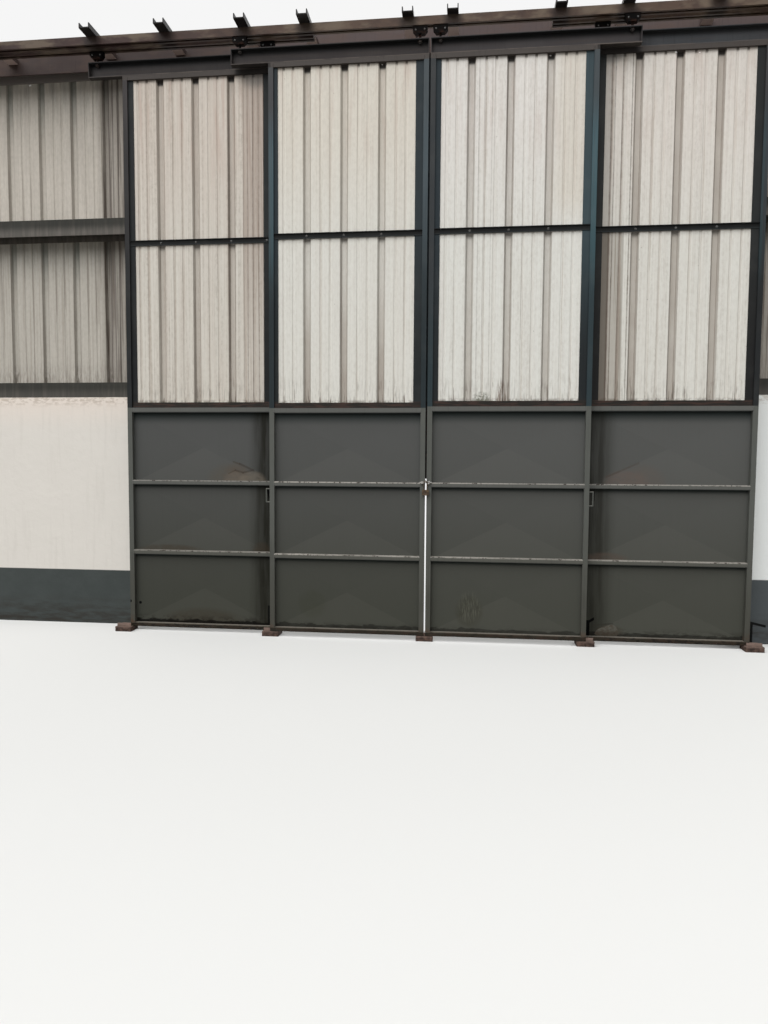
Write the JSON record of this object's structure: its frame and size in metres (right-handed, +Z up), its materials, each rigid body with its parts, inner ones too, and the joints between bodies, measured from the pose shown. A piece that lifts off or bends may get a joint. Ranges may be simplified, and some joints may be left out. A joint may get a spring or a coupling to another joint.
{
  "type": "telescopic sliding door in a factory end wall",
  "caption": "Top-hung telescopic sliding door with plated lower panels and corrugated upper panels, on box tracks fixed to a steel-framed wall with a rendered dado.",
  "frame": {"origin": "middle of the underside of the left door post's base plate", "axes": "+X to the right along the wall as seen from indoors, +Y outdoors through the wall, +Z up"},
  "size_m": [9.2, 0.663, 5.061],
  "materials": {
    "frame_steel": "worn satin paint",
    "header_steel": "dusty satin paint",
    "dado_render": "painted render",
    "wall_sheeting": "weathered satin coat",
    "track_steel": "stained and dusty",
    "bracket_steel": "satin paint",
    "rusty_iron": "rusted",
    "leaf_steel": "worn satin paint",
    "leaf_plate": "worn satin paint",
    "leaf_sheeting": "weathered satin coat",
    "trolley_steel": "greasy and rusty",
    "bare_steel": "worn",
    "old_brass": "tarnished"
  },
  "bodies": {
    "wall": {"left_door_post": "frame_steel", "right_door_post": "frame_steel", "end_posts": "frame_steel", "header_beam": "header_steel", "wall_girts": "frame_steel", "left_dado_wall": "dado_render", "right_dado_wall": "dado_render", "wall_sheets": "wall_sheeting", "inner_track": "track_steel", "outer_tracks": "track_steel", "track_brackets": "bracket_steel", "floor_guides": "rusty_iron"},
    "left_outer_leaf": {"left_outer_stiles": "leaf_steel", "left_outer_rails": "leaf_steel", "left_outer_strips": "leaf_steel", "left_outer_plate": "leaf_plate", "left_outer_sheet": "leaf_sheeting", "left_outer_channel": "leaf_steel", "left_outer_trolleys": "trolley_steel"},
    "left_inner_leaf": {"left_inner_stiles": "leaf_steel", "left_inner_rails": "leaf_steel", "left_inner_strips": "leaf_steel", "left_inner_plate": "leaf_plate", "left_inner_sheet": "leaf_sheeting", "left_inner_channel": "leaf_steel", "left_inner_trolleys": "trolley_steel", "meeting_strip": "leaf_steel", "slide_bolt": "bare_steel", "padlock": "old_brass", "left_pull_loop": "leaf_steel"},
    "right_inner_leaf": {"right_inner_stiles": "leaf_steel", "right_inner_rails": "leaf_steel", "right_inner_strips": "leaf_steel", "right_inner_plate": "leaf_plate", "right_inner_sheet": "leaf_sheeting", "right_inner_channel": "leaf_steel", "right_inner_trolleys": "trolley_steel", "bolt_keeper": "bare_steel", "right_pull_loop": "leaf_steel"},
    "right_outer_leaf": {"right_outer_stiles": "leaf_steel", "right_outer_rails": "leaf_steel", "right_outer_strips": "leaf_steel", "right_outer_plate": "leaf_plate", "right_outer_sheet": "leaf_sheeting", "right_outer_channel": "leaf_steel", "right_outer_trolleys": "trolley_steel"}
  },
  "joints": [
    {"name": "left_outer_slide", "type": "slide", "parent": "wall", "child": "left_outer_leaf", "axis": [-1, 0, 0], "range_m": [0, 1.3]},
    {"name": "left_inner_slide", "type": "slide", "parent": "wall", "child": "left_inner_leaf", "axis": [-1, 0, 0], "range_m": [0, 2.6]},
    {"name": "right_inner_slide", "type": "slide", "parent": "wall", "child": "right_inner_leaf", "axis": [1, 0, 0], "range_m": [0, 2.6]},
    {"name": "right_outer_slide", "type": "slide", "parent": "wall", "child": "right_outer_leaf", "axis": [1, 0, 0], "range_m": [0, 1.3]}
  ]
}
